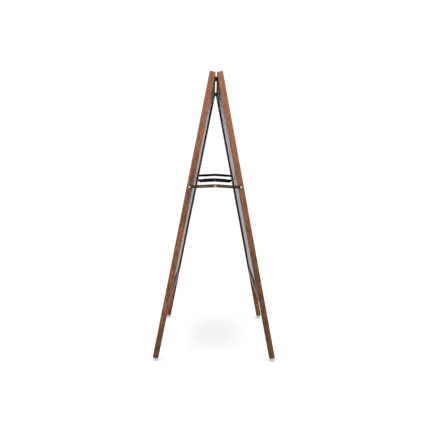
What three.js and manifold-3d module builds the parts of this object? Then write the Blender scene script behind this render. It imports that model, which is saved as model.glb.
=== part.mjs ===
// Double-sided folding chalkboard easel: two framed boards hinged at the top and held by folding stays.
// Millimetres, +Z up, standing open on the floor at z = 0, front board facing -Y.
import * as THREE from 'three';
import { mergeVertices } from 'three/addons/utils/BufferGeometryUtils.js';
import Module from 'manifold-3d';

const wasm = await Module();
wasm.setup();

// Driving sizes of one frame.
const frameHeight = 1016;
const frameWidth = 508;
const stockWidth = 30;
const legLength = 204;
const joinGap = 0.3;

// Board inside the frame, between a recess in front and one behind.
const frontRecess = 8;
const backRecess = 8;
const sheetThickness = 0.8;
const backingThickness = 3;
const layerGap = 0.2;
const grooveDepth = 6;
const boardBite = 5;
const grooveClearance = 0.2;

// The stock is as thick as the recesses and the board between them.
const stockThickness = frontRecess + sheetThickness + layerGap + backingThickness + backRecess;

// Hidden joinery.
const dowelRadius = 4;
const dowelLength = 32;
const dowelClearance = 0.15;
const dowelEndGap = 0.5;
const splineMargin = 6;
const splineWidth = 16;
const splineThickness = 3;

// How the two frames meet at the top.
const leanDegrees = 11.14;
const hingeGap = 6.4;
const pinDrop = 4.5;

// Hinges.
const hingeInset = 95;
const hingeLength = 62;
const knuckleClearance = 0.2;
const knuckleRadius = hingeGap / 2 - knuckleClearance;
const knuckleCount = 5;
const leafThickness = 1.5;
const leafDrop = 21;
const leafGap = 0.1;
const pinRadius = 1.5;
const pinClearance = 0.2;
const pinHeadRadius = 2.6;
const pinHeadHeight = 1.2;
const hingeScrewSpread = 21;
const hingeScrewDrop = 13.5;

// Rubber feet.
const footHeight = 14;
const footTopRadius = 8.8;
const footBottomRadius = 7.4;
const footPegRadius = 2.5;
const footPegLength = 10;

// Folding stays.
const stayRiseDegrees = 3.3;
const plateThickness = 1.2;
const tabLength = 27;
const crankLength = 6;
const faceGap = 0.2;
const moveGap = 0.3;
const innerStayInset = 2.7;
const innerFlare = 1.5;
const innerSkirt = 3;
const skirtStart = 12;
const innerTabHalf = backRecess - innerStayInset - moveGap;
const staySides = [
  { name: 'right', side: 1, face: 'outer', drop: 395 },
  { name: 'left', side: -1, face: 'outer', drop: 361 },
  { name: 'inner', side: -1, face: 'inner', drop: 380.5 },
];
const stayKinds = {
  outer: {
    inset: stockThickness / 2, tabHalf: 5, bodyHalf: 5.5, skirt: 0, shankRadius: 1.7, headRadius: 3.6,
    headHeight: 2.2, screwDepth: 14, rivetRadius: 4.2, flangeDepth: { front: 1.8, rear: 1.8 },
    tabLift: { front: 1.3, rear: 1.3 }, bodyLift: { front: 3.4, rear: 5.2 }, flangeSense: { front: -1, rear: 1 },
  },
  inner: {
    inset: innerStayInset, tabHalf: innerTabHalf, bodyHalf: innerTabHalf + innerFlare, skirt: innerSkirt,
    shankRadius: 1.2, headRadius: 2.8, headHeight: 1.4, screwDepth: 14, rivetRadius: 3.8, flangeDepth: { front: 1.2, rear: 1.8 },
    tabLift: { front: 1.3, rear: 4.4 }, bodyLift: { front: 1.3, rear: 4.4 }, flangeSense: { front: 1, rear: 1 },
  },
};

// Derived sizes.
const lean = THREE.MathUtils.degToRad(leanDegrees);
const stayRise = THREE.MathUtils.degToRad(stayRiseDegrees);
const halfGap = hingeGap / 2;
const halfWidth = frameWidth / 2;
const halfOpening = halfWidth - stockWidth;
const frameTop = pinDrop;
const frameBottom = pinDrop - frameHeight;
const openingTop = frameTop - stockWidth;
const railBottom = frameBottom + legLength;
const openingBottom = railBottom + stockWidth;
const backY = -halfGap;
const frontY = -halfGap - stockThickness;
const middleY = (backY + frontY) / 2;
const sheetFrontY = frontY + frontRecess;
const sheetBackY = sheetFrontY + sheetThickness;
const backingFrontY = sheetBackY + layerGap;
const backingBackY = backingFrontY + backingThickness;
const mitreShift = joinGap * Math.SQRT2;
const mitreStock = stockWidth - grooveDepth;
const splineLength = mitreStock * Math.SQRT2 - 2 * splineMargin;
const pinHeight = (frameHeight - pinDrop + footHeight) * Math.cos(lean) + middleY * Math.sin(lean);

const woodMaterial = new THREE.MeshStandardMaterial({ color: 0xa0663f, roughness: 0.6 });
const endGrainMaterial = new THREE.MeshStandardMaterial({ color: 0xc79a6b, roughness: 0.7 });
const chalkMaterial = new THREE.MeshStandardMaterial({ color: 0x2b2b2e, roughness: 0.85 });
const backingMaterial = new THREE.MeshStandardMaterial({ color: 0xb9b2ae, roughness: 0.8 });
const steelMaterial = new THREE.MeshStandardMaterial({ color: 0x6b625b, roughness: 0.4, metalness: 0.9 });
const zincMaterial = new THREE.MeshStandardMaterial({ color: 0xd9dcdf, roughness: 0.25, metalness: 1 });
const rubberMaterial = new THREE.MeshStandardMaterial({ color: 0xcfcdc9, roughness: 0.55 });

const assembly = new THREE.Group();
assembly.name = 'folding_chalkboard_easel';

function toSolid(geometry) {
  geometry.deleteAttribute('normal');
  geometry.deleteAttribute('uv');
  const merged = mergeVertices(geometry, 1e-5);
  const vertProperties = new Float32Array(merged.attributes.position.array);
  const triVerts = new Uint32Array(merged.index.array);
  return new wasm.Manifold(new wasm.Mesh({ numProp: 3, vertProperties, triVerts }));
}

function toGeometry(solid) {
  const mesh = solid.getMesh();
  const geometry = new THREE.BufferGeometry();
  geometry.setAttribute('position', new THREE.BufferAttribute(new Float32Array(mesh.vertProperties), 3));
  geometry.setIndex(new THREE.BufferAttribute(new Uint32Array(mesh.triVerts), 1));
  return geometry;
}

function block(x0, x1, y0, y1, z0, z1) {
  const geometry = new THREE.BoxGeometry(Math.abs(x1 - x0), Math.abs(y1 - y0), Math.abs(z1 - z0));
  geometry.translate((x0 + x1) / 2, (y0 + y1) / 2, (z0 + z1) / 2);
  return toSolid(geometry);
}

// Flat outline in (x, z) made solid between two y values.
function plateAcrossY(points, y0, y1) {
  const shape = new THREE.Shape(points.map(([x, z]) => new THREE.Vector2(x, z)));
  const geometry = new THREE.ExtrudeGeometry(shape, { depth: y1 - y0, bevelEnabled: false });
  geometry.rotateX(Math.PI / 2);
  geometry.translate(0, y1, 0);
  return toSolid(geometry);
}

// Round bar along X, Y or Z from one end to the other.
function bar(axis, radius, start, end, first, second, segments = 24) {
  const geometry = new THREE.CylinderGeometry(radius, radius, Math.abs(end - start), segments);
  const middle = (start + end) / 2;
  if (axis === 'x') {
    geometry.rotateZ(Math.PI / 2);
    geometry.translate(middle, first, second);
  } else if (axis === 'y') {
    geometry.translate(first, middle, second);
  } else {
    geometry.rotateX(Math.PI / 2);
    geometry.translate(first, second, middle);
  }
  return toSolid(geometry);
}

// Turned shape: profile of [radius, height] pairs spun about Z.
function turned(profile, segments = 24) {
  const geometry = new THREE.LatheGeometry(profile.map(([r, h]) => new THREE.Vector2(r, h)), segments);
  geometry.rotateX(Math.PI / 2);
  return toSolid(geometry);
}

function moved(solid, matrix) {
  const geometry = toGeometry(solid);
  geometry.applyMatrix4(matrix);
  return toSolid(geometry);
}

function frameMatrix(facing) {
  const matrix = new THREE.Matrix4().makeTranslation(0, 0, pinHeight);
  if (facing === 'rear') {
    matrix.multiply(new THREE.Matrix4().makeRotationZ(Math.PI));
  }
  return matrix.multiply(new THREE.Matrix4().makeRotationX(-lean));
}

function addPart(name, solid, material) {
  const geometry = toGeometry(solid).toNonIndexed();
  geometry.computeVertexNormals();
  const mesh = new THREE.Mesh(geometry, material);
  mesh.name = name;
  assembly.add(mesh);
}

function addToFrame(facing, name, solid, material) {
  addPart(`${facing}_${name}`, moved(solid, frameMatrix(facing)), material);
}

function boardGroove() {
  return block(
    -halfOpening - grooveDepth, halfOpening + grooveDepth,
    sheetFrontY - grooveClearance, backingBackY + grooveClearance,
    openingBottom - grooveDepth, openingTop + grooveDepth,
  );
}

function dowelHole(side) {
  const half = dowelLength / 2 + dowelEndGap;
  const radius = dowelRadius + dowelClearance;
  const z = (railBottom + openingBottom) / 2;
  return bar('x', radius, side * halfOpening - half, side * halfOpening + half, middleY, z);
}

function dowel(side) {
  const half = dowelLength / 2;
  const z = (railBottom + openingBottom) / 2;
  return bar('x', dowelRadius, side * halfOpening - half, side * halfOpening + half, middleY, z);
}

// Key across the mitre, between the board groove and the outer corner: a six-sided plate.
function mitreKey(side, growth) {
  const along = splineLength / 2 + growth;
  const across = splineWidth / 2 + growth;
  const outline = [
    [-along, 0], [-along / 2, -across], [along / 2, -across],
    [along, 0], [along / 2, across], [-along / 2, across],
  ];
  const centreX = halfWidth - mitreStock / 2;
  const centreZ = frameTop - mitreStock / 2;
  const points = outline.map(([u, v]) => [
    centreX + (u - v) * Math.SQRT1_2,
    centreZ + (u + v) * Math.SQRT1_2,
  ]);
  const placed = side > 0 ? points : points.map(([x, z]) => [-x, z]).reverse();
  const half = splineThickness / 2 + growth;
  return plateAcrossY(placed, middleY - half, middleY + half);
}

function staySide(stay, facing) {
  return facing === 'front' ? stay.side : -stay.side;
}

// Face of the stile a stay sits on, and the way pointing off that face.
function stayFace(stay, facing) {
  const side = staySide(stay, facing);
  if (stay.face === 'outer') {
    return { x: side * halfWidth, off: side };
  }
  return { x: side * halfOpening, off: -side };
}

function stayPivot(stay) {
  return { y: backY - stayKinds[stay.face].inset, z: pinDrop - stay.drop };
}

function stayScrewHole(stay, facing) {
  const kind = stayKinds[stay.face];
  const pivot = stayPivot(stay);
  const face = stayFace(stay, facing);
  const deep = face.x - face.off * (kind.screwDepth + moveGap);
  return bar('x', kind.shankRadius + moveGap / 2, deep, face.x + face.off, pivot.y, pivot.z, 16);
}

function footPegHole(side) {
  const x = side * (halfWidth - stockWidth / 2);
  const top = frameBottom + footPegLength + moveGap;
  return bar('z', footPegRadius + joinGap / 2, frameBottom - 1, top, x, middleY);
}

function stile(facing, side) {
  const outline = [
    [halfWidth, frameTop - mitreShift],
    [halfOpening, openingTop - mitreShift],
    [halfOpening, frameBottom],
    [halfWidth, frameBottom],
  ];
  const placed = side > 0 ? outline : outline.map(([x, z]) => [-x, z]).reverse();
  let solid = plateAcrossY(placed, frontY, backY);
  solid = solid.subtract(boardGroove()).subtract(dowelHole(side)).subtract(footPegHole(side));
  solid = solid.subtract(mitreKey(side, joinGap));
  for (const stay of staySides) {
    if (staySide(stay, facing) === side) {
      solid = solid.subtract(stayScrewHole(stay, facing));
    }
  }
  return solid;
}

function hingeCentres() {
  return [-1, 1].map((side) => side * (halfWidth - hingeInset));
}

function hingeScrewPlaces() {
  return hingeCentres().flatMap((centre) => [-1, 1].map((side) => centre + side * hingeScrewSpread));
}

function topRail() {
  const outline = [[-halfWidth, frameTop], [-halfOpening, openingTop], [halfOpening, openingTop], [halfWidth, frameTop]];
  let solid = plateAcrossY(outline, frontY, backY).subtract(boardGroove());
  solid = solid.subtract(mitreKey(1, joinGap)).subtract(mitreKey(-1, joinGap));
  for (const x of hingeScrewPlaces()) {
    solid = solid.subtract(hingeScrewHole(x));
  }
  return solid;
}

function bottomRail() {
  const end = halfOpening - joinGap;
  const solid = block(-end, end, frontY, backY, railBottom, openingBottom);
  return solid.subtract(boardGroove()).subtract(dowelHole(1)).subtract(dowelHole(-1));
}

function boardLayer(y0, y1) {
  const reach = halfOpening + boardBite;
  return block(-reach, reach, y0, y1, openingBottom - boardBite, openingTop + boardBite);
}

// Foot with a peg up into the leg, cut level with the floor once the frame leans.
function foot(facing, side) {
  const overrun = footTopRadius;
  const profile = [
    [0, -footHeight - overrun], [footBottomRadius, -footHeight - overrun],
    [footBottomRadius, -footHeight], [footTopRadius, -joinGap - footHeight / 3],
    [footTopRadius, -joinGap], [footPegRadius, -joinGap],
    [footPegRadius, footPegLength], [0, footPegLength],
  ];
  const x = side * (halfWidth - stockWidth / 2);
  const place = frameMatrix(facing).multiply(new THREE.Matrix4().makeTranslation(x, middleY, frameBottom));
  const floorBlock = block(-frameWidth, frameWidth, -frameHeight, frameHeight, -frameWidth, 0);
  return moved(turned(profile, 32), place).subtract(floorBlock);
}

function hingeScrewProfile(growth) {
  const headRadius = 2.9;
  const shankRadius = 1.3;
  const shankLength = 13;
  const coneDepth = headRadius - shankRadius;
  return [
    [0, -shankLength - growth], [shankRadius + growth, -shankLength - growth],
    [shankRadius + growth, -coneDepth], [headRadius + growth, 0],
  ];
}

const leafInnerY = backY + leafGap + leafThickness;

function hingeScrewMatrix(x) {
  const matrix = new THREE.Matrix4().makeTranslation(x, leafInnerY, pinDrop - hingeScrewDrop);
  return matrix.multiply(new THREE.Matrix4().makeRotationX(-Math.PI / 2));
}

function hingeScrewHole(x) {
  const profile = [...hingeScrewProfile(faceGap), [3.1, 1], [0, 1]];
  return moved(turned(profile, 20), hingeScrewMatrix(x));
}

function hingeScrew(x) {
  const profile = [...hingeScrewProfile(0), [0, 0]];
  const slot = block(-2, 2, -0.35, 0.35, -0.8, 1);
  const cross = block(-0.35, 0.35, -2, 2, -0.8, 1);
  return moved(turned(profile, 20).subtract(slot).subtract(cross), hingeScrewMatrix(x));
}

function knuckleSpan(centre, index) {
  const pitch = hingeLength / knuckleCount;
  const start = centre - hingeLength / 2 + index * pitch;
  return [start + joinGap / 2, start + pitch - joinGap / 2];
}

// One leaf in the frame's own coordinates; even knuckles belong to the front, odd ones to the rear.
function hingeLeaf(facing, centre) {
  const parity = facing === 'front' ? 0 : 1;
  const plateTop = -knuckleRadius - joinGap;
  const half = hingeLength / 2 - joinGap / 2;
  const outer = backY + leafGap;
  let solid = block(centre - half, centre + half, outer, leafInnerY, pinDrop - leafDrop, plateTop);
  for (let index = parity; index < knuckleCount; index += 2) {
    const [x0, x1] = knuckleSpan(centre, index);
    solid = solid.add(bar('x', knuckleRadius, x0, x1, 0, 0));
    solid = solid.add(block(x0, x1, outer, leafInnerY, plateTop - leafThickness, 0));
  }
  solid = solid.subtract(bar('x', pinRadius + pinClearance, centre - hingeLength, centre + hingeLength, 0, 0));
  for (const side of [-1, 1]) {
    solid = solid.subtract(hingeScrewHole(centre + side * hingeScrewSpread));
  }
  return solid;
}

function hingePin(centre) {
  const half = hingeLength / 2;
  let solid = bar('x', pinRadius, centre - half - pinHeadHeight, centre + half + pinHeadHeight, 0, 0);
  for (const side of [-1, 1]) {
    const inner = centre + side * (half + joinGap);
    solid = solid.add(bar('x', pinHeadRadius, inner, inner + side * pinHeadHeight, 0, 0));
  }
  return solid;
}

// Distance of a stay pivot from the plane midway between the frames when each frame leans by an angle.
function stayHalfSpan(stay, angle) {
  const pivot = stayPivot(stay);
  return -pivot.y * Math.cos(angle) - pivot.z * Math.sin(angle);
}

function stayLength(stay) {
  return stayHalfSpan(stay, lean) / Math.cos(stayRise);
}

// Where a side of the pressed body starts: past the tab, or sooner where the body has a skirt.
function shoulderStart(half, kind) {
  return half > kind.bodyHalf ? skirtStart : tabLength + crankLength / 2;
}

// Arm outline in (u, v): a tab at the pivot, a wider pressed body reaching from -minus to plus, round ends.
function armOutline(length, kind, minus, plus) {
  const { tabHalf } = kind;
  const shape = new THREE.Shape();
  const minusStart = shoulderStart(minus, kind);
  const plusStart = shoulderStart(plus, kind);
  shape.moveTo(0, -tabHalf);
  shape.lineTo(minusStart - crankLength, -tabHalf);
  shape.lineTo(minusStart, -minus);
  shape.lineTo(length, -minus);
  shape.absellipse(length, 0, Math.min(minus, plus), minus, -Math.PI / 2, 0, false, 0);
  shape.absellipse(length, 0, Math.min(minus, plus), plus, 0, Math.PI / 2, false, 0);
  shape.lineTo(plusStart, plus);
  shape.lineTo(plusStart - crankLength, tabHalf);
  shape.lineTo(0, tabHalf);
  shape.absarc(0, 0, tabHalf, Math.PI / 2, Math.PI * 1.5, false);
  return shape;
}

function liftedPlate(outlineDepth, length, tabLift, bodyLift) {
  const start = -outlineDepth;
  const end = length + outlineDepth;
  const crankStart = tabLength - crankLength;
  const lower = [[start, tabLift], [crankStart, tabLift], [tabLength, bodyLift], [end, bodyLift]];
  const upper = lower.map(([u, lift]) => [u, lift + plateThickness]).reverse();
  const shape = new THREE.Shape([...lower, ...upper].map(([u, lift]) => new THREE.Vector2(u, lift)));
  const geometry = new THREE.ExtrudeGeometry(shape, { depth: 2 * outlineDepth, bevelEnabled: false });
  geometry.translate(0, 0, -outlineDepth);
  geometry.rotateX(Math.PI / 2);
  return toSolid(geometry);
}

// Arm lying along u with its plate thickness rising along the third axis.
function flatArm(stay, facing) {
  const kind = stayKinds[stay.face];
  const length = stayLength(stay);
  const reach = kind.bodyHalf * 2;
  const bodyLift = kind.bodyLift[facing];
  const below = kind.bodyHalf + kind.skirt;
  const [minus, plus] = stayFace(stay, facing).off > 0 ? [below, kind.bodyHalf] : [kind.bodyHalf, below];
  const outline = new THREE.ExtrudeGeometry(armOutline(length, kind, minus, plus), {
    depth: reach * 2, bevelEnabled: false, curveSegments: 10,
  });
  let solid = toSolid(outline).intersect(liftedPlate(reach, length, kind.tabLift[facing], bodyLift));
  const flangeBase = bodyLift + plateThickness / 2;
  const flangeTip = kind.flangeSense[facing] > 0
    ? bodyLift + plateThickness + kind.flangeDepth[facing]
    : bodyLift - kind.flangeDepth[facing];
  for (const side of [-1, 1]) {
    const edge = side > 0 ? plus : -minus;
    const near = Math.min(flangeBase, flangeTip);
    const far = Math.max(flangeBase, flangeTip);
    const inside = edge - side * plateThickness;
    const flangeStart = shoulderStart(Math.abs(edge), kind);
    const flangeEnd = length - kind.bodyHalf;
    solid = solid.add(block(flangeStart, flangeEnd, Math.min(edge, inside), Math.max(edge, inside), near, far));
  }
  const holeTop = reach * 2;
  solid = solid.subtract(bar('z', kind.shankRadius + moveGap, -holeTop, holeTop, 0, 0, 20));
  return solid.subtract(bar('z', kind.shankRadius + moveGap, -holeTop, holeTop, length, 0, 20));
}

// Carries a flat arm into the frame's coordinates: u runs up and inwards, lift points off the stile face.
function armMatrix(stay, facing) {
  const pivot = stayPivot(stay);
  const face = stayFace(stay, facing);
  const angle = stayRise + lean;
  const along = new THREE.Vector3(0, Math.cos(angle), Math.sin(angle));
  const lift = new THREE.Vector3(face.off, 0, 0);
  const across = new THREE.Vector3().crossVectors(lift, along);
  const matrix = new THREE.Matrix4().makeBasis(along, across, lift);
  return matrix.setPosition(face.x, pivot.y, pivot.z);
}

function addStay(stay) {
  const kind = stayKinds[stay.face];
  for (const facing of ['front', 'rear']) {
    const place = armMatrix(stay, facing);
    const tabTop = kind.tabLift[facing] + plateThickness;
    addToFrame(facing, `${stay.name}_stay_arm`, moved(flatArm(stay, facing), place), steelMaterial);
    addToFrame(facing, `${stay.name}_stay_screw`, moved(stayScrew(kind, tabTop), place), zincMaterial);
    addToFrame(facing, `${stay.name}_stay_washer`, moved(stayWasher(kind, kind.tabLift[facing]), place), zincMaterial);
  }
  const rivetPlace = armMatrix(stay, 'rear').multiply(new THREE.Matrix4().makeTranslation(stayLength(stay), 0, 0));
  addToFrame('rear', `${stay.name}_stay_rivet`, moved(stayRivet(kind), rivetPlace), zincMaterial);
}

function stayScrew(kind, tabTop) {
  const headBase = tabTop + moveGap;
  const headTop = headBase + kind.headHeight;
  const profile = [
    [0, -kind.screwDepth], [kind.shankRadius * 0.4, -kind.screwDepth],
    [kind.shankRadius, -kind.screwDepth + kind.shankRadius * 2], [kind.shankRadius, headBase],
    [kind.headRadius, headBase], [kind.headRadius, headBase + kind.headHeight * 0.35],
    [kind.headRadius * 0.8, headBase + kind.headHeight * 0.8], [kind.headRadius * 0.45, headTop], [0, headTop],
  ];
  const recess = kind.headHeight * 0.5;
  const slotHalf = kind.headRadius * 0.55;
  const slotWidth = kind.headRadius * 0.12;
  const slot = block(-slotHalf, slotHalf, -slotWidth, slotWidth, headTop - recess, headTop + 1);
  const cross = block(-slotWidth, slotWidth, -slotHalf, slotHalf, headTop - recess, headTop + 1);
  return turned(profile).subtract(slot).subtract(cross);
}

function stayWasher(kind, tabLift) {
  const top = tabLift - moveGap;
  const ring = bar('z', kind.tabHalf - moveGap, faceGap, top, 0, 0);
  return ring.subtract(bar('z', kind.shankRadius + moveGap, 0, tabLift, 0, 0, 20));
}

function stayRivet(kind) {
  const plateTop = kind.bodyLift.rear + plateThickness;
  const headBase = plateTop + faceGap;
  const headHeight = kind.rivetRadius * 0.45;
  const profile = [
    [0, kind.bodyLift.rear], [kind.shankRadius, kind.bodyLift.rear], [kind.shankRadius, headBase],
    [kind.rivetRadius, headBase], [kind.rivetRadius * 0.86, headBase + headHeight * 0.6],
    [kind.rivetRadius * 0.5, headBase + headHeight * 0.92], [0, headBase + headHeight],
  ];
  return turned(profile);
}

// Left and right in every name are as seen from in front of the front board.
function addFrame(facing) {
  addToFrame(facing, 'top_rail', topRail(), woodMaterial);
  addToFrame(facing, 'bottom_rail', bottomRail(), woodMaterial);
  addToFrame(facing, 'writing_sheet', boardLayer(sheetFrontY, sheetBackY), chalkMaterial);
  addToFrame(facing, 'backing_board', boardLayer(backingFrontY, backingBackY), backingMaterial);
  for (const side of [-1, 1]) {
    const hand = (side > 0) === (facing === 'front') ? 'right' : 'left';
    addToFrame(facing, `${hand}_stile`, stile(facing, side), woodMaterial);
    addToFrame(facing, `${hand}_dowel`, dowel(side), endGrainMaterial);
    addToFrame(facing, `${hand}_mitre_key`, mitreKey(side, 0), endGrainMaterial);
    addPart(`${facing}_${hand}_foot`, foot(facing, side), rubberMaterial);
  }
}

// The rear leaf is built in the rear frame's own coordinates, so its hinge centre changes side.
function addHinge(centre) {
  const hand = centre > 0 ? 'right' : 'left';
  addToFrame('front', `${hand}_hinge_leaf`, hingeLeaf('front', centre), steelMaterial);
  addToFrame('rear', `${hand}_hinge_leaf`, hingeLeaf('rear', -centre), steelMaterial);
  addPart(`${hand}_hinge_pin`, moved(hingePin(centre), frameMatrix('front')), steelMaterial);
  for (const facing of ['front', 'rear']) {
    const frameCentre = facing === 'front' ? centre : -centre;
    [-1, 1].forEach((side, index) => {
      const name = `${hand}_hinge_screw_${index + 1}`;
      addToFrame(facing, name, hingeScrew(frameCentre + side * hingeScrewSpread), zincMaterial);
    });
  }
}

addFrame('front');
addFrame('rear');
hingeCentres().forEach(addHinge);
staySides.forEach(addStay);

export default assembly;
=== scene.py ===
# Folding double-sided chalkboard easel, standing open on a pale studio floor.
import math
import random

import bmesh
import bpy
from mathutils import Matrix, Vector


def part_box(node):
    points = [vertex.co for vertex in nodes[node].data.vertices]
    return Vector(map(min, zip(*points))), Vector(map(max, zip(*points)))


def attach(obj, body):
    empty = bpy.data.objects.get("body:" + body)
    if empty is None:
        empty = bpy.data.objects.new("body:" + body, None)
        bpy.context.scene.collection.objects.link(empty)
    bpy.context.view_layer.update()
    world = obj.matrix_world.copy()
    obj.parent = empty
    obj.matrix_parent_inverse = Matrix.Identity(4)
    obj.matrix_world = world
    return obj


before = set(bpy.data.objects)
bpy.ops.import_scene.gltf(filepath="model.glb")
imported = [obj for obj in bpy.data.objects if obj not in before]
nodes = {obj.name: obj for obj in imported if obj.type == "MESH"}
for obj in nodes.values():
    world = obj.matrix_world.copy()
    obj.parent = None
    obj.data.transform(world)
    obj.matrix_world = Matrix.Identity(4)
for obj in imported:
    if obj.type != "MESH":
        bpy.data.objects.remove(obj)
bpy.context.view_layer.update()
print("frame loaded:", len(nodes), "nodes")

leanAngle = math.radians(11.14)  # each frame's lean from upright when it stands open


def startMaterial(name):
    material = bpy.data.materials.new(name)
    material.use_nodes = True
    tree = material.node_tree
    tree.nodes.clear()
    output = tree.nodes.new("ShaderNodeOutputMaterial")
    shader = tree.nodes.new("ShaderNodeBsdfPrincipled")
    tree.links.new(shader.outputs["BSDF"], output.inputs["Surface"])
    return material, tree, shader


def addNode(tree, kind, inputs=None, **settings):
    # inputs may be plain values or other nodes' output sockets
    node = tree.nodes.new(kind)
    for key, value in settings.items():
        setattr(node, key, value)
    for key, value in (inputs or {}).items():
        if isinstance(value, bpy.types.NodeSocket):
            tree.links.new(value, node.inputs[key])
        else:
            node.inputs[key].default_value = value
    return node


def addNoise(tree, vector, scale, detail=4.0, roughness=0.55, distortion=0.0):
    node = addNode(tree, "ShaderNodeTexNoise", {
        "Vector": vector, "Scale": scale, "Detail": detail,
        "Roughness": roughness, "Distortion": distortion,
    })
    return node.outputs["Fac"]


def addRamp(tree, value, stops):
    node = addNode(tree, "ShaderNodeValToRGB", {"Fac": value})
    ramp = node.color_ramp
    while len(ramp.elements) < len(stops):
        ramp.elements.new(0.5)
    for element, (place, colour) in zip(ramp.elements, stops):
        element.position = place
        level = colour if isinstance(colour, tuple) else (colour,) * 3
        element.color = (*level, 1.0)
    return node.outputs["Color"]


def addMath(tree, operation, first, second=0.5, clamp=False):
    node = addNode(tree, "ShaderNodeMath", {0: first, 1: second}, operation=operation, use_clamp=clamp)
    return node.outputs[0]


def addMix(tree, factor, first, second, blend="MIX"):
    node = addNode(tree, "ShaderNodeMix", data_type="RGBA", blend_type=blend)
    for socket, value in ((0, factor), (6, first), (7, second)):
        if isinstance(value, bpy.types.NodeSocket):
            tree.links.new(value, node.inputs[socket])
        elif socket == 0:
            node.inputs[0].default_value = value
        else:
            node.inputs[socket].default_value = (*value, 1.0)
    return node.outputs[2]


def addBump(tree, height, strength, distance, normal=None):
    inputs = {"Height": height, "Strength": strength, "Distance": distance}
    if normal is not None:
        inputs["Normal"] = normal
    return addNode(tree, "ShaderNodeBump", inputs).outputs["Normal"]


def addCoords(tree, turnX=0.0, shift=(0.0, 0.0, 0.0), stretch=(1.0, 1.0, 1.0)):
    # object coordinates turned about X first, so that a leaning piece has its grain along local Z
    source = addNode(tree, "ShaderNodeTexCoord").outputs["Object"]
    turned = addNode(tree, "ShaderNodeMapping", {"Vector": source, "Rotation": (turnX, 0.0, 0.0)})
    return addNode(tree, "ShaderNodeMapping", {
        "Vector": turned.outputs["Vector"], "Location": shift, "Scale": stretch,
    }).outputs["Vector"]


def addRange(tree, value, low, high):
    # share of the way from low to high, held between 0 and 1
    node = addNode(tree, "ShaderNodeMapRange", {"Value": value, "From Min": low, "From Max": high})
    return node.outputs["Result"]


def addHeight(tree):
    return addNode(tree, "ShaderNodeSeparateXYZ", {"Vector": addCoords(tree)}).outputs["Z"]


patternReach = 3.0  # metres either way within which a piece's noise may start


def pickShift(seed):
    # where in the noise a piece starts, so that no two pieces share a pattern
    picker = random.Random(seed)
    return tuple(picker.uniform(-patternReach, patternReach) for _ in range(3))


def srgb(red, green, blue):
    def channel(value):
        value /= 255.0
        return value / 12.92 if value <= 0.04045 else ((value + 0.055) / 1.055) ** 2.4
    return tuple(channel(value) for value in (red, green, blue))


stainedWood = {
    # head colours are painted lighter for the lit top of the frame, foot colours darker for painted shade
    # lower down
    "headDark": srgb(92, 52, 32), "headMiddle": srgb(141, 90, 60), "headLight": srgb(171, 116, 84),
    "footDark": srgb(54, 28, 13), "footMiddle": srgb(112, 66, 32), "footLight": srgb(150, 95, 52),
    "pore": srgb(36, 19, 10),
    # painted shade laid on the frame faces behind the board
    "recess": srgb(50, 43, 41),
    "recessShare": {"front": 0.72, "rear": 0.9},
    "endDark": srgb(46, 26, 16), "endLight": srgb(96, 60, 38),
    "headHeight": 0.93,
    "footHeight": 0.2,
    "unevenStain": 0.5,
    "fleckShare": 0.7, "fleckFade": 0.55,
    "blotchShare": 0.62,
    "poreShare": 0.5,
    "roughness": 0.52, "roughnessSpread": 0.24, "endRoughness": 0.22,
    "specular": 0.22,
    "coatWeight": 0.03,
    "coatRoughness": 0.3,
    "poreDepth": 0.9, "fleckDepth": 0.3,
    "fineBump": (0.5, 0.0002), "broadBump": (0.3, 0.0005),  # strength and depth in metres
    "shadeWaverDepth": 0.0016,
    "boardMargin": 0.0005, "railMargin": 0.004,
    "easedEdge": 0.0011,
}
# noise layers of the wood: repeats per metre across and along the grain, detail, roughness, distortion
grainLayers = {
    "broad": (34, 3.2, 3.0, 0.5, 0.6),
    "figure": (150, 11, 4.0, 0.6, 1.2),
    "fibre": (520, 26, 4.0, 0.66, 0.0),
    "flecks": (300, 130, 3.0, 0.6, 0.8),
    "mottle": (150, 62, 3.0, 0.6, 0.9),
    "pores": (1300, 110, 2.0, 0.5, 0.0),
    "rings": (180, 20, 3.0, 0.6, 0.6),
}
grainWeights = (("broad", 0.28), ("figure", 0.24), ("mottle", 0.26), ("fibre", 0.22))


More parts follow.
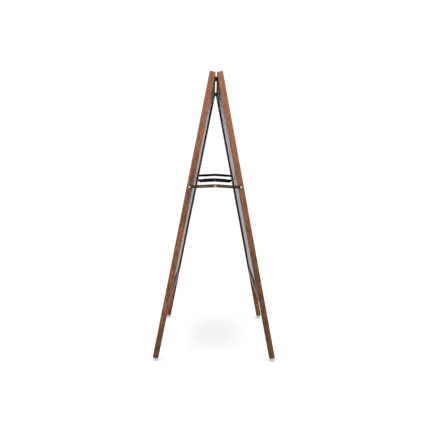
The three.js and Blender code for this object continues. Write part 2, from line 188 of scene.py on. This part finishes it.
def makeWood(name, along, turnX, seed, recess=None):
    # along is the axis that the grain follows: "x" for rails, "z" for the leaning stiles; the last argument
    # tells which way the board lies, so that the faces behind it take painted shade, a dark colour standing
    # in for the shade between the two frames
    material, tree, shader = startMaterial(name)
    shift = pickShift(seed)
    lengthWays = (1, 0, 0) if along == "x" else (0, 0, 1)

    grain = {}
    for layer, (across, length, detail, roughness, distortion) in grainLayers.items():
        stretch = tuple(length if flag else across for flag in lengthWays)
        coords = addCoords(tree, turnX, shift, stretch)
        grain[layer] = addNoise(tree, coords, 1.0, detail, roughness, distortion)
    broad, fibre = grain["broad"], grain["fibre"]
    fleckMask = addRamp(tree, grain["flecks"], [(0.0, 1.0), (0.38, 1.0), (0.56, 0.0), (1.0, 0.0)])
    poreMask = addRamp(tree, grain["pores"], [(0.0, 1.0), (0.35, 1.0), (0.43, 0.0), (1.0, 0.0)])
    blotches = addRamp(tree, grain["mottle"], [(0.0, 1.0), (0.41, 1.0), (0.49, 0.0), (1.0, 0.0)])

    tone = 0.0
    for layer, weight in grainWeights:
        tone = addMath(tree, "ADD", tone, addMath(tree, "MULTIPLY", grain[layer], weight))
    head = addRamp(tree, tone, [(0.36, stainedWood["headDark"]), (0.50, stainedWood["headMiddle"]),
                                (0.66, stainedWood["headLight"])])
    foot = addRamp(tree, tone, [(0.40, stainedWood["footDark"]), (0.50, stainedWood["footMiddle"]),
                                (0.60, stainedWood["footLight"])])

    # painted light and shade: the top is painted lighter and the foot darker, standing in for how the light
    # falls down the frame
    share = addRange(tree, addHeight(tree), stainedWood["footHeight"], stainedWood["headHeight"])
    uneven = addMath(tree, "SUBTRACT", broad, 0.5)
    uneven = addMath(tree, "MULTIPLY", uneven, stainedWood["unevenStain"])
    share = addMath(tree, "ADD", share, uneven, clamp=True)
    colour = addMix(tree, share, foot, head)
    dark = addMix(tree, share, stainedWood["footDark"], stainedWood["headDark"])
    # flecks and blotches are the wood's own figure, made stronger lower down along with the painted shade
    # there
    fleckFade = addMath(tree, "MULTIPLY", share, stainedWood["fleckFade"])
    fleckShare = addMath(tree, "SUBTRACT", 1.0, fleckFade)
    fleckShare = addMath(tree, "MULTIPLY", fleckShare, stainedWood["fleckShare"])
    colour = addMix(tree, addMath(tree, "MULTIPLY", fleckMask, fleckShare), colour, dark)
    blotchShare = addMath(tree, "SUBTRACT", 1.0, share)
    blotchShare = addMath(tree, "MULTIPLY", blotchShare, stainedWood["blotchShare"])
    colour = addMix(tree, addMath(tree, "MULTIPLY", blotches, blotchShare), colour, dark)
    poreShare = addMath(tree, "MULTIPLY", poreMask, stainedWood["poreShare"])
    colour = addMix(tree, poreShare, colour, stainedWood["pore"])

    # stain soaks in deeper where the grain is cut across
    normal = addNode(tree, "ShaderNodeTexCoord").outputs["Normal"]
    axis = Vector(lengthWays)
    axis.rotate(Matrix.Rotation(-turnX, 3, "X"))
    facing = addNode(tree, "ShaderNodeVectorMath", {0: normal, 1: tuple(axis)}, operation="DOT_PRODUCT")
    cutEnd = addMath(tree, "ABSOLUTE", facing.outputs["Value"])
    cutEnd = addRamp(tree, cutEnd, [(0.0, 0.0), (0.82, 0.0), (0.95, 1.0), (1.0, 1.0)])
    endColour = addMix(tree, grain["rings"], stainedWood["endDark"], stainedWood["endLight"])
    colour = addMix(tree, cutEnd, colour, endColour)

    # painted shade: frame faces behind the board and under the top rail are darkened where shade falls
    # between the frames
    if recess is not None:
        inwards = addNode(tree, "ShaderNodeVectorMath", {0: normal, 1: recess["inwards"]},
                          operation="DOT_PRODUCT")
        recessShade = addRange(tree, inwards.outputs["Value"], 0.55, 0.8)
        place = addNode(tree, "ShaderNodeSeparateXYZ", {"Vector": addCoords(tree, turnX)})
        behind = addMath(tree, "MULTIPLY", place.outputs["Y"], recess["facing"])
        shadeWaver = addMath(tree, "SUBTRACT", fibre, 0.5)
        shadeWaver = addMath(tree, "MULTIPLY", shadeWaver, stainedWood["shadeWaverDepth"])
        behind = addMath(tree, "ADD", behind, shadeWaver)
        pastBoard = addMath(tree, "GREATER_THAN", behind, recess["boardBack"])
        recessShade = addMath(tree, "MULTIPLY", recessShade, pastBoard)
        aboveRail = addMath(tree, "GREATER_THAN", place.outputs["Z"], recess["bottom"])
        recessShade = addMath(tree, "MULTIPLY", recessShade, aboveRail)
        recessShade = addMath(tree, "MULTIPLY", recessShade, recess["share"])
        colour = addMix(tree, recessShade, colour, stainedWood["recess"])
    tree.links.new(colour, shader.inputs["Base Color"])

    spread = stainedWood["roughnessSpread"]
    rough = addMath(tree, "MULTIPLY", fibre, spread)
    rough = addMath(tree, "ADD", rough, stainedWood["roughness"] - spread / 2)
    endRough = addMath(tree, "MULTIPLY", cutEnd, stainedWood["endRoughness"])
    rough = addMath(tree, "ADD", rough, endRough, clamp=True)
    tree.links.new(rough, shader.inputs["Roughness"])
    shader.inputs["Specular IOR Level"].default_value = stainedWood["specular"]
    shader.inputs["Coat Weight"].default_value = stainedWood["coatWeight"]
    shader.inputs["Coat Roughness"].default_value = stainedWood["coatRoughness"]
    relief = fibre
    for mask, depth in ((poreMask, stainedWood["poreDepth"]), (fleckMask, stainedWood["fleckDepth"])):
        relief = addMath(tree, "SUBTRACT", relief, addMath(tree, "MULTIPLY", mask, depth))
    fineBump = addBump(tree, relief, *stainedWood["fineBump"])
    broadBump = addBump(tree, broad, *stainedWood["broadBump"], fineBump)
    tree.links.new(broadBump, shader.inputs["Normal"])
    return material


def findRecess(side, turnX, inwards):
    # where the board's back and lower edge lie once the frame is turned upright
    turn = Matrix.Rotation(turnX, 3, "X")
    facing = 1.0 if side == "front" else -1.0
    points = [turn @ vertex.co for vertex in nodes[f"{side}_backing_board"].data.vertices]
    return {
        "inwards": tuple(turn.inverted() @ Vector(inwards)),
        "facing": facing,
        "boardBack": max(point.y * facing for point in points) - stainedWood["boardMargin"],
        "bottom": min(point.z for point in points) + stainedWood["railMargin"],
        "share": stainedWood["recessShare"][side],
    }


chalkSheet = {
    "black": srgb(21, 21, 23),
    "haze": srgb(72, 73, 77),
    "topLift": 0.10,
    "liftFrom": 0.55, "liftTo": 0.98,
    "roughness": 0.6, "hazeRoughness": 0.7,
    "specular": 0.22,
    "coatScale": 1500.0, "coatBump": (0.35, 0.00012),
}
# chalk left behind: stretch, scale, detail, roughness and distortion of its noise,
# the levels between which it comes up, and how much of it there is
chalkTraces = {
    "clouds": ((3.2, 3.2, 2.2), 1.0, 4.0, 0.55, 0.5, 0.38, 0.72, 0.16),
    "wipes": ((4.0, 4.0, 42.0), 1.0, 4.0, 0.6, 1.1, 0.45, 0.8, 0.10),
    "dust": ((1.0, 1.0, 1.0), 900.0, 2.0, 0.6, 0.0, 0.5, 0.75, 0.14),
}


def makeChalkSurface(name, turnX, seed):
    material, tree, shader = startMaterial(name)
    shift = pickShift(seed)
    haze = 0.0
    for stretch, scale, detail, roughness, distortion, start, end, weight in chalkTraces.values():
        layer = addNoise(tree, addCoords(tree, turnX, shift, stretch), scale, detail, roughness, distortion)
        spread = addRamp(tree, layer, [(start, 0.0), (end, 1.0)])
        haze = addMath(tree, "ADD", haze, addMath(tree, "MULTIPLY", spread, weight))
    # the chalk haze is raised towards the top, so the sheet is lighter there
    upper = addRange(tree, addHeight(tree), chalkSheet["liftFrom"], chalkSheet["liftTo"])
    topLift = addMath(tree, "MULTIPLY", upper, chalkSheet["topLift"])
    haze = addMath(tree, "ADD", haze, topLift, clamp=True)
    tree.links.new(addMix(tree, haze, chalkSheet["black"], chalkSheet["haze"]), shader.inputs["Base Color"])
    rough = addMath(tree, "MULTIPLY", haze, chalkSheet["hazeRoughness"])
    rough = addMath(tree, "ADD", rough, chalkSheet["roughness"], clamp=True)
    tree.links.new(rough, shader.inputs["Roughness"])
    shader.inputs["Specular IOR Level"].default_value = chalkSheet["specular"]
    coat = addNoise(tree, addCoords(tree, turnX, shift), chalkSheet["coatScale"], 2.0, 0.5)
    tree.links.new(addBump(tree, coat, *chalkSheet["coatBump"]), shader.inputs["Normal"])
    return material


backingBoard = {
    # colours painted by height: lighter at the top for a painted sheen, darker lower down
    "low": srgb(132, 126, 130), "lower": srgb(160, 154, 158),
    "upper": srgb(212, 207, 211), "top": srgb(238, 235, 238),
    "lowHeight": 0.40, "topHeight": 0.88,
    "shade": (0.82, 0.81, 0.82),
    "mottleShare": 0.6, "fibreShare": 0.4,
    "speck": srgb(112, 105, 106), "speckScale": 520.0, "speckShare": 0.35,
    "roughness": 0.42, "roughnessSpread": 0.08,
    "specular": 0.5,
    "bump": (0.05, 0.0001),
}


def makeBackingSurface(name, turnX, seed):
    material, tree, shader = startMaterial(name)
    shift = pickShift(seed)
    mottle = addNoise(tree, addCoords(tree, turnX, shift, (9.0, 9.0, 6.0)), 1.0, 5.0, 0.6)
    fibre = addNoise(tree, addCoords(tree, turnX, shift, (260.0, 260.0, 90.0)), 1.0, 4.0, 0.65)
    tone = addMath(tree, "ADD", addMath(tree, "MULTIPLY", mottle, backingBoard["mottleShare"]),
                   addMath(tree, "MULTIPLY", fibre, backingBoard["fibreShare"]))
    # painted light: the board is painted lighter towards the top, standing in for the sheen its back
    # catches there at a grazing angle, and darker lower down
    share = addRange(tree, addHeight(tree), backingBoard["lowHeight"], backingBoard["topHeight"])
    baseColour = addRamp(tree, share, [(0.0, backingBoard["low"]), (0.35, backingBoard["lower"]),
                                  (0.64, backingBoard["upper"]), (1.0, backingBoard["top"])])
    dull = addMix(tree, 1.0, baseColour, backingBoard["shade"], "MULTIPLY")
    colour = addMix(tree, addRamp(tree, tone, [(0.34, 0.0), (0.62, 1.0)]), dull, baseColour)
    specks = addNoise(tree, addCoords(tree, turnX, shift), backingBoard["speckScale"], 1.0, 0.5)
    speckMask = addRamp(tree, specks, [(0.0, 0.0), (0.72, 0.0), (0.78, 1.0), (1.0, 1.0)])
    speckShare = addMath(tree, "MULTIPLY", speckMask, backingBoard["speckShare"])
    colour = addMix(tree, speckShare, colour, backingBoard["speck"])
    tree.links.new(colour, shader.inputs["Base Color"])
    spread = backingBoard["roughnessSpread"]
    rough = addMath(tree, "MULTIPLY", fibre, spread)
    rough = addMath(tree, "ADD", rough, backingBoard["roughness"] - spread / 2)
    tree.links.new(rough, shader.inputs["Roughness"])
    shader.inputs["Specular IOR Level"].default_value = backingBoard["specular"]
    tree.links.new(addBump(tree, fibre, *backingBoard["bump"]), shader.inputs["Normal"])
    return material


metalWear = {
    "lineShare": 0.5,
    "lineRoughness": 0.16, "tarnishRoughness": 0.14,
    "shadeEdgeJitter": 0.5,
    "tabShare": 0.8, "tabBlend": 0.0015,
    "bump": (0.3, 0.00006),
}


def addMetalLayer(tree, shift, turnX, recipe, lines):
    # one finish: clean steel, drawn lines and broad tarnish
    tarnish = addNoise(tree, addCoords(tree, turnX, shift), recipe["patchScale"], 5.0, 0.65, 0.4)
    patches = addRamp(tree, tarnish, [(0.36, 0.0), (0.66, 1.0)])
    lineShare = addMath(tree, "MULTIPLY", lines, metalWear["lineShare"])
    base = addMix(tree, lineShare, recipe["baseColour"], recipe["line"])
    tarnishShare = addMath(tree, "MULTIPLY", patches, recipe["tarnishShare"])
    return addMix(tree, tarnishShare, base, recipe["tarnish"]), patches


# how the drawn lines repeat, per metre, for each direction in which a piece was drawn
lineScales = {
    "x": (40, 2200, 2200), "y": (2200, 40, 2200), "z": (2200, 2200, 40), "none": (900, 900, 900),
}


def makeMetal(name, recipe, turnX=0.0, along="y", seed=1, back=None, faceX=1.0, tabFrom=None):
    # back is the finish left on the side that faces away from faceX, as painted shade, and on the end
    # beyond tabFrom, where the stays have dark tabs of their own
    material, tree, shader = startMaterial(name)
    shift = pickShift(seed)
    stretch = lineScales[along]
    lines = addNoise(tree, addCoords(tree, turnX, shift, stretch), 1.0, 3.0, 0.6)
    colour, patches = addMetalLayer(tree, shift, turnX, recipe, lines)
    if back is not None:
        backColour, _ = addMetalLayer(tree, shift, turnX, back, lines)
        normal = addNode(tree, "ShaderNodeTexCoord").outputs["Normal"]
        turned = addNode(tree, "ShaderNodeSeparateXYZ", {"Vector": normal}).outputs["X"]
        outwards = addMath(tree, "MULTIPLY", turned, faceX)
        # noise along the edge between the lit finish and the painted shade
        shadeEdgeNoise = addNoise(tree, addCoords(tree, turnX, shift, (300, 90, 300)), 1.0, 4.0, 0.6)
        shadeEdgeJitter = addMath(tree, "MULTIPLY", addMath(tree, "SUBTRACT", shadeEdgeNoise, 0.5), metalWear["shadeEdgeJitter"])
        edge = addMath(tree, "ADD", outwards, shadeEdgeJitter)
        shown = addRamp(tree, edge, [(0.0, 0.0), (0.25, 0.0), (0.7, 1.0), (1.0, 1.0)])
        if tabFrom is not None:
            across = addNode(tree, "ShaderNodeSeparateXYZ", {"Vector": addCoords(tree)}).outputs["Y"]
            past = addMath(tree, "SUBTRACT", addMath(tree, "ABSOLUTE", across), tabFrom)
            tab = addRange(tree, past, -metalWear["tabBlend"], metalWear["tabBlend"])
            covered = addMath(tree, "MULTIPLY", tab, metalWear["tabShare"])
            kept = addMath(tree, "SUBTRACT", 1.0, covered)
            shown = addMath(tree, "MULTIPLY", shown, kept)
        colour = addMix(tree, shown, backColour, colour)
    tree.links.new(colour, shader.inputs["Base Color"])
    shader.inputs["Metallic"].default_value = recipe["metallic"]
    lineRough = addMath(tree, "MULTIPLY", lines, metalWear["lineRoughness"])
    rough = addMath(tree, "ADD", lineRough, recipe["roughness"])
    patchRough = addMath(tree, "MULTIPLY", patches, metalWear["tarnishRoughness"])
    rough = addMath(tree, "ADD", rough, patchRough, clamp=True)
    tree.links.new(rough, shader.inputs["Roughness"])
    tree.links.new(addBump(tree, lines, *metalWear["bump"]), shader.inputs["Normal"])
    return material


brownStaySteel = {
    "baseColour": srgb(98, 84, 75), "line": srgb(68, 57, 50), "tarnish": srgb(34, 27, 24),
    "tarnishShare": 0.8, "patchScale": 110.0, "metallic": 0.85, "roughness": 0.38,
}
# dark steel: painted shade on the stays' shaded sides and on the inner stay, and the real colour of the
# dark end tabs
darkTabAndShadeSteel = {
    "baseColour": srgb(44, 42, 41), "line": srgb(30, 28, 28), "tarnish": srgb(18, 16, 16),
    "tarnishShare": 0.6, "patchScale": 110.0, "metallic": 0.85, "roughness": 0.46,
}
hingeSteel = {
    "baseColour": srgb(66, 63, 60), "line": srgb(44, 42, 40), "tarnish": srgb(26, 24, 23),
    "tarnishShare": 0.7, "patchScale": 90.0, "metallic": 0.85, "roughness": 0.42,
}
rivetSteel = {
    "baseColour": srgb(196, 168, 154), "line": srgb(160, 134, 122), "tarnish": srgb(110, 90, 82),
    "tarnishShare": 0.4, "patchScale": 240.0, "metallic": 0.9, "roughness": 0.3,
}
zincBright = {
    "baseColour": srgb(226, 228, 232), "line": srgb(196, 198, 202), "tarnish": srgb(150, 148, 142),
    "tarnishShare": 0.35, "patchScale": 240.0, "metallic": 0.9, "roughness": 0.2,
}


rubberFoot = {
    "pale": srgb(192, 192, 196),
    "scuff": srgb(150, 147, 143),
    "roughness": 0.42,
    "subsurface": 0.12, "subsurfaceScale": 0.004,
    "scuffScale": 130.0,
    "dirtFade": 60.0,  # one over the height that the dirt reaches
    "dirtShare": 0.8, "dirtRoughness": 0.35,
    "bump": (0.25, 0.0002),
}


def makeRubber(name, seed):
    material, tree, shader = startMaterial(name)
    shift = pickShift(seed)
    scuffs = addNoise(tree, addCoords(tree, 0.0, shift), rubberFoot["scuffScale"], 5.0, 0.65, 0.6)
    nearFloor = addMath(tree, "MULTIPLY", addHeight(tree), rubberFoot["dirtFade"])
    nearFloor = addRamp(tree, nearFloor, [(0.0, 1.0), (0.35, 0.25), (1.0, 0.0)])
    dirt = addMath(tree, "MULTIPLY", addRamp(tree, scuffs, [(0.35, 0.1), (0.65, 1.0)]), nearFloor)
    dirt = addMath(tree, "MULTIPLY", dirt, rubberFoot["dirtShare"])
    tree.links.new(addMix(tree, dirt, rubberFoot["pale"], rubberFoot["scuff"]), shader.inputs["Base Color"])
    rough = addMath(tree, "MULTIPLY", dirt, rubberFoot["dirtRoughness"])
    rough = addMath(tree, "ADD", rough, rubberFoot["roughness"], clamp=True)
    tree.links.new(rough, shader.inputs["Roughness"])
    shader.inputs["Subsurface Weight"].default_value = rubberFoot["subsurface"]
    shader.inputs["Subsurface Scale"].default_value = rubberFoot["subsurfaceScale"]
    tree.links.new(addBump(tree, scuffs, *rubberFoot["bump"]), shader.inputs["Normal"])
    return material


bareHardwood = {
    "dark": srgb(168, 124, 82),
    "light": srgb(214, 176, 128),
    "roughness": 0.7,
    "bump": (0.4, 0.0001),
}


def makeBareWood(name, seed):
    material, tree, shader = startMaterial(name)
    shift = pickShift(seed)
    fibre = addNoise(tree, addCoords(tree, 0.0, shift, (60.0, 900.0, 900.0)), 1.0, 4.0, 0.6)
    colour = addRamp(tree, fibre, [(0.3, bareHardwood["dark"]), (0.7, bareHardwood["light"])])
    tree.links.new(colour, shader.inputs["Base Color"])
    shader.inputs["Roughness"].default_value = bareHardwood["roughness"]
    tree.links.new(addBump(tree, fibre, *bareHardwood["bump"]), shader.inputs["Normal"])
    return material


weldReach = 0.00002  # metres
easeAngle = 40  # degrees; sharper edges than this are eased
crispAngle = 38  # degrees; sharper edges than this are shaded as edges
easedEdges = {
    "foot": 0.0008, "hingeLeaf": 0.00025, "hingeScrew": 0.00015, "hingePin": 0.0002,
    "stayArm": 0.0003, "stayScrew": 0.0002, "stayWasher": 0.0001, "stayRivet": 0.0002,
    "holdingPoint": 0.0002,
}


def dress(name, material, eased=0.0, segments=2):
    piece = nodes[name]
    mesh = piece.data
    mesh.materials.clear()
    mesh.materials.append(material)
    if "custom_normal" in mesh.attributes:
        mesh.attributes.remove(mesh.attributes["custom_normal"])
    for face in mesh.polygons:
        face.use_smooth = True
        face.material_index = 0
    weld = piece.modifiers.new("weld", "WELD")
    weld.merge_threshold = weldReach
    if eased > 0:
        ease = piece.modifiers.new("easedEdges", "BEVEL")
        ease.width = eased
        ease.segments = segments
        ease.limit_method = "ANGLE"
        ease.angle_limit = math.radians(easeAngle)
        ease.use_clamp_overlap = True
    split = piece.modifiers.new("crispEdges", "EDGE_SPLIT")
    split.split_angle = math.radians(crispAngle)


frameTurns = {"front": leanAngle, "rear": -leanAngle}
stays = {
    "right": {"seed": 21, "faceX": 1.0, "finish": brownStaySteel},
    "left": {"seed": 22, "faceX": -1.0, "finish": brownStaySteel},
    # the inner stay is dark steel all over, painted shade for the shade it sits in between the frames
    "inner": {"seed": 23, "faceX": 1.0, "finish": darkTabAndShadeSteel},
}
stayRise = 3.3  # degrees by which each arm rises towards the middle rivet
stayTab = 0.031  # length of the dark end under each stay's screw
rubber = makeRubber("paleRubber", 31)
bareWood = makeBareWood("bareHardwood", 32)
zincFlat = makeMetal("brightZinc", zincBright, along="none", seed=33)
rivetFinish = makeMetal("dullRivet", rivetSteel, along="none", seed=35)
hingeFinish = makeMetal("darkHingeSteel", hingeSteel, along="x", seed=34)

for number, (side, turn) in enumerate(frameTurns.items()):
    seedBase = 100 * (number + 1)
    for order, hand in enumerate(("left", "right")):
        inwards = (1.0, 0.0, 0.0) if hand == "left" else (-1.0, 0.0, 0.0)
        wood = makeWood(f"stainedWood_{side}_{hand}_stile", "z", turn, seedBase + order,
                        findRecess(side, turn, inwards))
        dress(f"{side}_{hand}_stile", wood, stainedWood["easedEdge"])
        dress(f"{side}_{hand}_dowel", bareWood)
        dress(f"{side}_{hand}_mitre_key", bareWood)
        dress(f"{side}_{hand}_foot", rubber, easedEdges["foot"], 3)
        dress(f"{side}_{hand}_hinge_leaf", hingeFinish, easedEdges["hingeLeaf"])
        for index in (1, 2):
            dress(f"{side}_{hand}_hinge_screw_{index}", zincFlat, easedEdges["hingeScrew"])
    for order, rail in enumerate(("top", "bottom")):
        # the top rail's underside behind the board takes the painted shade as well
        recess = findRecess(side, turn, (0.0, 0.0, -1.0)) if rail == "top" else None
        wood = makeWood(f"stainedWood_{side}_{rail}_rail", "x", turn, seedBase + 5 + order, recess)
        dress(f"{side}_{rail}_rail", wood, stainedWood["easedEdge"])
    dress(f"{side}_writing_sheet", makeChalkSurface(f"chalkCoat_{side}", turn, seedBase + 7))
    dress(f"{side}_backing_board", makeBackingSurface(f"greyBacking_{side}", turn, seedBase + 8))
    for stay, settings in stays.items():
        armTurn = math.radians(-stayRise if side == "front" else stayRise)
        screwLow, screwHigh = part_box(f"{side}_{stay}_stay_screw")
        tabFrom = abs((screwLow.y + screwHigh.y) / 2) - stayTab
        steel = makeMetal(f"stayStrip_{side}_{stay}", settings["finish"], armTurn, "y",
                          settings["seed"] + number, darkTabAndShadeSteel, settings["faceX"], tabFrom)
        dress(f"{side}_{stay}_stay_arm", steel, easedEdges["stayArm"])
        dress(f"{side}_{stay}_stay_screw", zincFlat, easedEdges["stayScrew"])
        dress(f"{side}_{stay}_stay_washer", zincFlat, easedEdges["stayWasher"])
for stay in stays:
    dress(f"rear_{stay}_stay_rivet", rivetFinish, easedEdges["stayRivet"])
for hand in ("left", "right"):
    dress(f"{hand}_hinge_pin", hingeFinish, easedEdges["hingePin"])
print("materials on", len(nodes), "nodes")


holdingPoint = {
    "length": 0.0085,
    "halfWidth": 0.0028,
    "thickness": 0.0009,
    "into": 0.0035,
    "shoulderAt": 0.55, "shoulderWidth": 0.8,
    "aboveBoard": 0.0003,
    "boardHalf": 0.0015,
    "openingX": 0.224,
    "openingHalfHeight": 0.376,
    "shares": (-0.72, -0.26, 0.22, 0.70),
    "railX": 0.12,
}


def addHoldingPoints(side):
    # flat steel points pushed into the frame behind the board, as a glazier's points are
    facing = 1 if side == "front" else -1
    turn = Matrix.Rotation(-leanAngle * facing, 4, "X")
    boardLow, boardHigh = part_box(f"{side}_backing_board")
    local = turn.inverted() @ ((boardLow + boardHigh) / 2)
    lowerY = local.y + facing * (holdingPoint["boardHalf"] + holdingPoint["aboveBoard"])
    upperY = lowerY + facing * holdingPoint["thickness"]
    openingX, halfHeight = holdingPoint["openingX"], holdingPoint["openingHalfHeight"]
    places = []
    for share in holdingPoint["shares"]:
        places.append((openingX, local.z + share * halfHeight, 1, 0))
        places.append((-openingX, local.z + share * halfHeight, -1, 0))
    for x in (-holdingPoint["railX"], holdingPoint["railX"]):
        places.append((x, local.z + halfHeight, 0, 1))
        places.append((x, local.z - halfHeight, 0, -1))
    into, out = holdingPoint["into"], holdingPoint["length"] - holdingPoint["into"]
    wide = holdingPoint["halfWidth"]
    shoulder, shoulderWide = -out * holdingPoint["shoulderAt"], wide * holdingPoint["shoulderWidth"]
    outline = [(into, 0.0), (0.0, wide), (shoulder, shoulderWide), (-out, 0.0),
               (shoulder, -shoulderWide), (0.0, -wide)]
    build = bmesh.new()
    for x, z, outX, outZ in places:
        outwards = Vector((outX, 0, outZ))
        acrossWays = Vector((-outZ, 0, outX))
        lower = []
        upper = []
        for along, sideways in outline:
            point = Vector((x, 0, z)) + outwards * along + acrossWays * sideways
            lower.append(build.verts.new((point.x, lowerY, point.z)))
            upper.append(build.verts.new((point.x, upperY, point.z)))
        build.faces.new(lower)
        build.faces.new(list(reversed(upper)))
        for index in range(len(outline)):
            following = (index + 1) % len(outline)
            build.faces.new((lower[index], upper[index], upper[following], lower[following]))
    bmesh.ops.recalc_face_normals(build, faces=build.faces)
    build.transform(turn)
    mesh = bpy.data.meshes.new(f"{side}_holding_points")
    build.to_mesh(mesh)
    build.free()
    piece = bpy.data.objects.new(f"{side}_holding_points", mesh)
    bpy.context.scene.collection.objects.link(piece)
    mesh.materials.append(zincFlat)
    ease = piece.modifiers.new("easedEdges", "BEVEL")
    ease.width = easedEdges["holdingPoint"]
    ease.segments = 2
    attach(piece, f"{side}_frame")


for side in frameTurns:
    addHoldingPoints(side)
print("holding points added")


studio = {
    "floorSize": 14.0,
    "floorColour": (0.97, 0.97, 0.97), "floorRoughness": 0.85, "floorSpecular": 0.2,
    "floorGlow": 0.15,  # stands in for the light a white cyclorama throws back
    "worldStrength": 1.04,
    "softboxes": {
        "keySoftbox": {"place": (1.9, -1.5, 2.3), "aim": (0.0, 0.0, 0.6), "size": 1.8, "power": 18},
        "fillSoftbox": {"place": (1.9, 1.6, 1.6), "aim": (0.0, 0.0, 0.6), "size": 1.8, "power": 8},
        "topSoftbox": {"place": (0.0, 0.0, 3.0), "aim": (0.0, 0.0, 0.0), "size": 3.0, "power": 16},
    },
}


def addFloor():
    build = bmesh.new()
    bmesh.ops.create_grid(build, x_segments=1, y_segments=1, size=studio["floorSize"] / 2)
    mesh = bpy.data.meshes.new("floor")
    build.to_mesh(mesh)
    build.free()
    floor = bpy.data.objects.new("floor", mesh)
    bpy.context.scene.collection.objects.link(floor)
    material, tree, shader = startMaterial("paleFloor")
    shader.inputs["Base Color"].default_value = (*studio["floorColour"], 1.0)
    shader.inputs["Roughness"].default_value = studio["floorRoughness"]
    shader.inputs["Specular IOR Level"].default_value = studio["floorSpecular"]
    shader.inputs["Emission Color"].default_value = (1.0, 1.0, 1.0, 1.0)
    shader.inputs["Emission Strength"].default_value = studio["floorGlow"]
    mesh.materials.append(material)


def addSoftbox(name, place, aim, size, power):
    light = bpy.data.lights.new(name, "AREA")
    light.shape = "SQUARE"
    light.size = size
    light.energy = power
    lamp = bpy.data.objects.new(name, light)
    bpy.context.scene.collection.objects.link(lamp)
    lamp.location = place
    lamp.rotation_mode = "QUATERNION"
    lamp.rotation_quaternion = (Vector(aim) - Vector(place)).to_track_quat("-Z", "Y")


addFloor()
for name, settings in studio["softboxes"].items():
    addSoftbox(name, **settings)

world = bpy.data.worlds.new("studioWorld")
world.use_nodes = True
world.node_tree.nodes["Background"].inputs["Color"].default_value = (1.0, 1.0, 1.0, 1.0)
world.node_tree.nodes["Background"].inputs["Strength"].default_value = studio["worldStrength"]
bpy.context.scene.world = world
bpy.context.scene.view_settings.view_transform = "Standard"

sideView = {
    "lens": 37.5,
    "sensorWidth": 36.0,
    "place": (1.792, -0.008, 0.6765),
    "yaw": -0.29,
    "pitch": -5.55,
    "roll": 0.49,
    "clipStart": 0.01, "clipEnd": 60.0,
}


def addCamera():
    yaw, pitch, roll = (math.radians(sideView[key]) for key in ("yaw", "pitch", "roll"))
    ahead = Vector((-math.cos(yaw) * math.cos(pitch), -math.sin(yaw) * math.cos(pitch), math.sin(pitch)))
    right = ahead.cross(Vector((0, 0, 1))).normalized()
    above = right.cross(ahead)
    rightTurned = right * math.cos(roll) + above * math.sin(roll)
    aboveTurned = above * math.cos(roll) - right * math.sin(roll)
    data = bpy.data.cameras.new("sideCamera")
    data.sensor_width = sideView["sensorWidth"]
    data.lens = sideView["lens"]
    data.clip_start = sideView["clipStart"]
    data.clip_end = sideView["clipEnd"]
    camera = bpy.data.objects.new("sideCamera", data)
    bpy.context.scene.collection.objects.link(camera)
    basis = Matrix((rightTurned, aboveTurned, -ahead)).transposed()
    camera.matrix_world = Matrix.Translation(sideView["place"]) @ basis.to_4x4()
    bpy.context.scene.camera = camera


addCamera()
print("studio ready")
